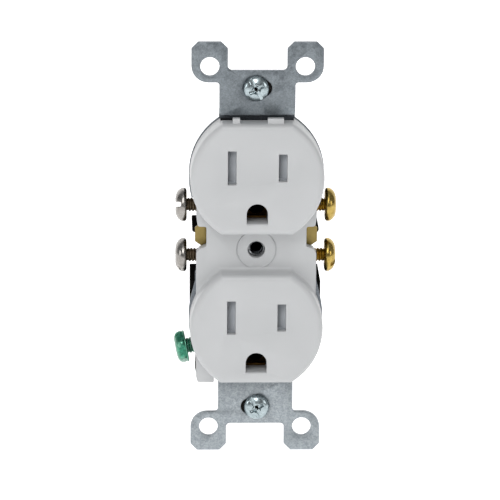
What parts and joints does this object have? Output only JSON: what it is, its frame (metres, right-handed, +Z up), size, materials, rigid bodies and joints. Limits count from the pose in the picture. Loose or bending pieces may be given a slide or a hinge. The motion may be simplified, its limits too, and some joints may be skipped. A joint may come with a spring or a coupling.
{
  "type": "duplex wall outlet",
  "caption": "Duplex wall outlet: two shuttered grounding sockets in one white cover, on a galvanised strap with ears, with side wiring screws and a black body.",
  "frame": {"origin": "middle of the device, on the plane of the ears' backs, which is the plane of the wall", "axes": "+X to the right seen from the front, +Y into the wall, +Z up"},
  "size_m": [0.0412, 0.032, 0.1068],
  "materials": {
    "white_cover": "moulded, satin gloss",
    "black_body": "moulded, semi-gloss",
    "galvanised_strap": "galvanised, faint spangle",
    "brass_contacts": "stamped brass",
    "brass_screws": "bright brass plate",
    "nickel_screws": "nickel plate, dark thread",
    "green_screw": "green dyed plating",
    "zinc_screws": "zinc plate",
    "spring_steel": "spring steel",
    "fibre_retainers": "vulcanised fibre",
    "grey_shutters": "moulded"
  },
  "bodies": {
    "device": {"front_cover": "white_cover", "back_body": "black_body", "mounting_strap": "galvanised_strap", "neutral_terminal": "brass_contacts", "hot_terminal": "brass_contacts", "upper_ground_contact": "brass_contacts", "lower_ground_contact": "brass_contacts", "upper_ground_rivet": "brass_contacts", "lower_ground_rivet": "brass_contacts", "upper_assembly_rivet": "spring_steel", "lower_assembly_rivet": "spring_steel", "neutral_upper_wire_clamp": "spring_steel", "neutral_lower_wire_clamp": "spring_steel", "hot_upper_wire_clamp": "spring_steel", "hot_lower_wire_clamp": "spring_steel", "upper_shutter_guide": "grey_shutters", "lower_shutter_guide": "grey_shutters", "upper_shutter_spring": "spring_steel", "lower_shutter_spring": "spring_steel"},
    "upper_shutter": {"upper_shutter": "grey_shutters"},
    "lower_shutter": {"lower_shutter": "grey_shutters"},
    "neutral_upper_screw": {"neutral_upper_screw": "nickel_screws"},
    "neutral_lower_screw": {"neutral_lower_screw": "nickel_screws"},
    "hot_upper_screw": {"hot_upper_screw": "brass_screws"},
    "hot_lower_screw": {"hot_lower_screw": "brass_screws"},
    "ground_screw": {"ground_screw": "green_screw"},
    "upper_retainer": {"upper_screw_retainer": "fibre_retainers"},
    "lower_retainer": {"lower_screw_retainer": "fibre_retainers"},
    "upper_mounting_screw": {"upper_mounting_screw": "zinc_screws"},
    "lower_mounting_screw": {"lower_mounting_screw": "zinc_screws"}
  },
  "joints": [
    {"name": "upper_shutter_slide", "type": "slide", "parent": "device", "child": "upper_shutter", "axis": [1, 0, 0], "range_m": [0, 0.0028], "stiffness_N_per_m": 80, "springref_m": -0.002, "deforming": ["upper_shutter_spring"]},
    {"name": "lower_shutter_slide", "type": "slide", "parent": "device", "child": "lower_shutter", "axis": [1, 0, 0], "range_m": [0, 0.0028], "stiffness_N_per_m": 80, "springref_m": -0.002, "deforming": ["lower_shutter_spring"]},
    {"name": "neutral_upper_screw_drive", "type": "slide", "parent": "device", "child": "neutral_upper_screw", "axis": [1, 0, 0], "range_m": [0, 0.00397]},
    {"name": "neutral_lower_screw_drive", "type": "slide", "parent": "device", "child": "neutral_lower_screw", "axis": [1, 0, 0], "range_m": [0, 0.00397]},
    {"name": "hot_upper_screw_drive", "type": "slide", "parent": "device", "child": "hot_upper_screw", "axis": [-1, 0, 0], "range_m": [0, 0.00397]},
    {"name": "hot_lower_screw_drive", "type": "slide", "parent": "device", "child": "hot_lower_screw", "axis": [-1, 0, 0], "range_m": [0, 0.00397]},
    {"name": "ground_screw_drive", "type": "slide", "parent": "device", "child": "ground_screw", "axis": [0.9823, 0.0698, 0.1736], "range_m": [0, 0.00159]},
    {"name": "upper_retainer_slide", "type": "slide", "parent": "device", "child": "upper_retainer", "axis": [1, 0, 0], "range_m": [-0.0014, 0.0021]},
    {"name": "lower_retainer_slide", "type": "slide", "parent": "device", "child": "lower_retainer", "axis": [1, 0, 0], "range_m": [-0.0021, 0.0014]},
    {"name": "upper_mounting_screw_turn", "type": "hinge", "parent": "upper_retainer", "child": "upper_mounting_screw", "pos_m": [-0.00035, 0, 0.04167], "axis": [0, 1, 0], "continuous": true},
    {"name": "lower_mounting_screw_turn", "type": "hinge", "parent": "lower_retainer", "child": "lower_mounting_screw", "pos_m": [0.00035, 0, -0.04167], "axis": [0, 1, 0], "continuous": true}
  ]
}
